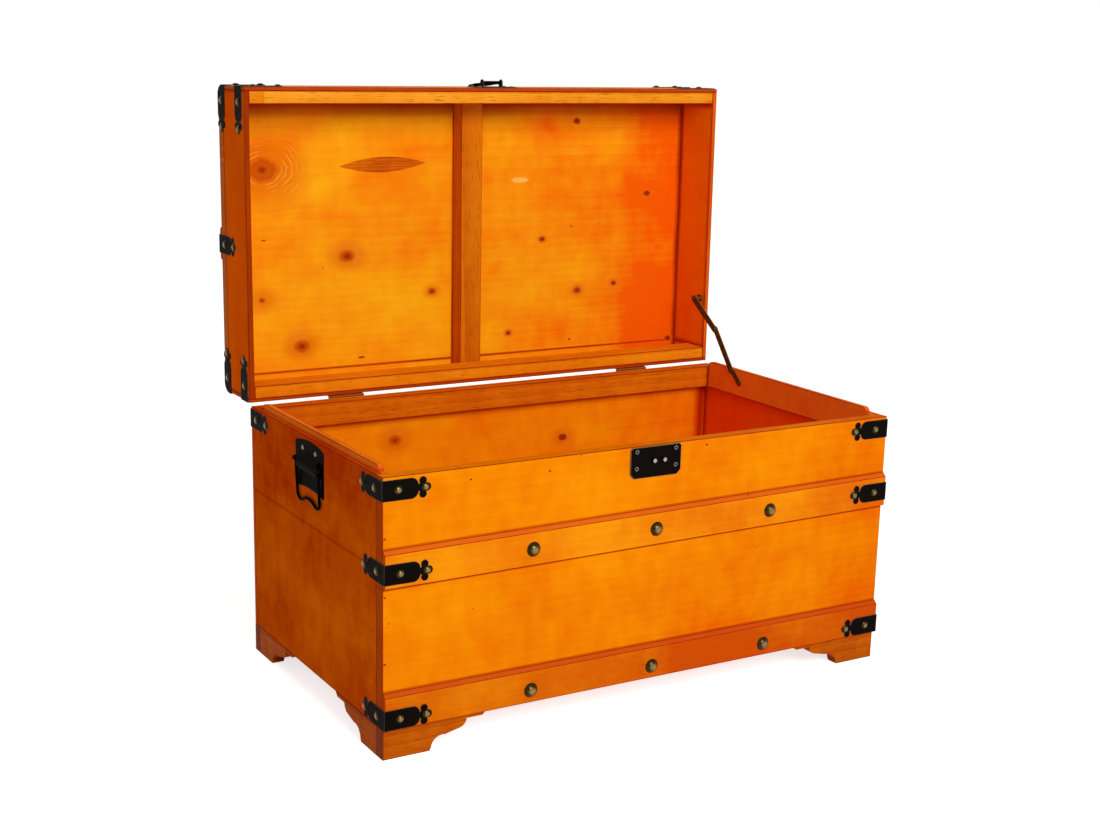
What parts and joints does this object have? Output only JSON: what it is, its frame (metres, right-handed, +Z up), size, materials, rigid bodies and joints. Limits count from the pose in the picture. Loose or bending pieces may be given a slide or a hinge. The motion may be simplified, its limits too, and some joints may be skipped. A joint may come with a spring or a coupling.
{
  "type": "sea chest",
  "caption": "Wooden sea chest with a hinged flat lid, folding stay, hasp, bail handles, iron corner straps, wooden bands and bracket feet.",
  "frame": {"origin": "on the floor, in the middle of the open chest's bounding box", "axes": "+X to the chest's right as seen from its front, +Y towards its back, +Z up; the lid stands open at rest"},
  "size_m": [0.8174, 0.5756, 0.8266],
  "materials": {
    "stained_pine": "orange-stained and varnished, satin",
    "oak": "stained, visible pores, satin",
    "black_iron": "black, satin",
    "antique_brass": "darkened, polished on the high spots",
    "bronzed_steel": "dark bronze, satin",
    "bright_steel": "bright"
  },
  "bodies": {
    "chest": {"front_board": "stained_pine", "back_board": "stained_pine", "left_board": "stained_pine", "right_board": "stained_pine", "floor_board": "stained_pine", "back_rail": "oak", "left_rail": "stained_pine", "right_rail": "stained_pine", "middle_band": "stained_pine", "bottom_band": "stained_pine", "front_left_front_bracket": "stained_pine", "front_right_front_bracket": "stained_pine", "rear_left_back_bracket": "stained_pine", "rear_right_back_bracket": "stained_pine", "front_left_side_bracket": "stained_pine", "front_right_side_bracket": "stained_pine", "rear_left_side_bracket": "stained_pine", "rear_right_side_bracket": "stained_pine", "front_left_straps": "black_iron", "front_right_straps": "black_iron", "rear_straps": "black_iron", "body_strap_nails": "antique_brass", "band_studs": "antique_brass", "lock_plate": "black_iron", "lock_posts": "bright_steel", "lock_rivets": "black_iron", "left_hinge_body_leaf": "bronzed_steel", "right_hinge_body_leaf": "bronzed_steel", "hinge_pins": "bronzed_steel", "left_handle_plate": "black_iron", "right_handle_plate": "black_iron", "handle_axles": "black_iron", "handle_nails": "black_iron", "stay_body_bracket": "bronzed_steel"},
    "lid": {"lid_front_board": "stained_pine", "lid_back_board": "stained_pine", "lid_left_end": "stained_pine", "lid_right_end": "stained_pine", "lid_front_rail": "oak", "lid_back_rail": "oak", "lid_batten": "oak", "lid_panel": "stained_pine", "lid_band": "stained_pine", "lid_band_studs": "antique_brass", "lid_rim_straps": "black_iron", "lid_band_straps": "black_iron", "lid_top_straps": "black_iron", "lid_strap_nails": "antique_brass", "left_hinge_lid_leaf": "bronzed_steel", "right_hinge_lid_leaf": "bronzed_steel", "hasp_plate": "black_iron", "hasp_pin": "black_iron", "hasp_rivets": "black_iron", "stay_lid_bracket": "bronzed_steel"},
    "left_bail": {"left_bail": "black_iron"},
    "right_bail": {"right_bail": "black_iron"},
    "stay_lower": {"stay_lower_link": "bronzed_steel"},
    "stay_upper": {"stay_upper_link": "bronzed_steel"},
    "hasp_tongue": {"hasp_tongue": "black_iron"}
  },
  "joints": [
    {"name": "lid_hinge", "type": "hinge", "parent": "chest", "child": "lid", "pos_m": [0, 0.17037, 0.3683], "axis": [1, 0, 0], "range_deg": [0, 90.3]},
    {"name": "stay_lower_swing", "type": "hinge", "parent": "chest", "child": "stay_lower", "pos_m": [0.3813, 0.07567, 0.3735], "axis": [1, 0, 0], "range_deg": [0, 174.92]},
    {"name": "stay_upper_swing", "type": "hinge", "parent": "lid", "child": "stay_upper", "pos_m": [0.3793, 0.18243, 0.47494], "axis": [1, 0, 0], "range_deg": [-68.66, 0]},
    {"name": "hasp_swing", "type": "hinge", "parent": "lid", "child": "hasp_tongue", "pos_m": [0, 0.19705, 0.82157], "axis": [1, 0, 0], "range_deg": [0, 186.75]},
    {"name": "left_bail_swing", "type": "hinge", "parent": "chest", "child": "left_bail", "pos_m": [-0.405, -0.04933, 0.333], "axis": [0, 1, 0], "range_deg": [0, 95]},
    {"name": "right_bail_swing", "type": "hinge", "parent": "chest", "child": "right_bail", "pos_m": [0.405, -0.04933, 0.333], "axis": [0, -1, 0], "range_deg": [0, 95]}
  ],
  "couplings": [
    {"joint": "stay_lower_swing", "follows": "lid_hinge", "ratio": 1.9366},
    {"joint": "stay_upper_swing", "follows": "lid_hinge", "ratio": -0.7598}
  ]
}
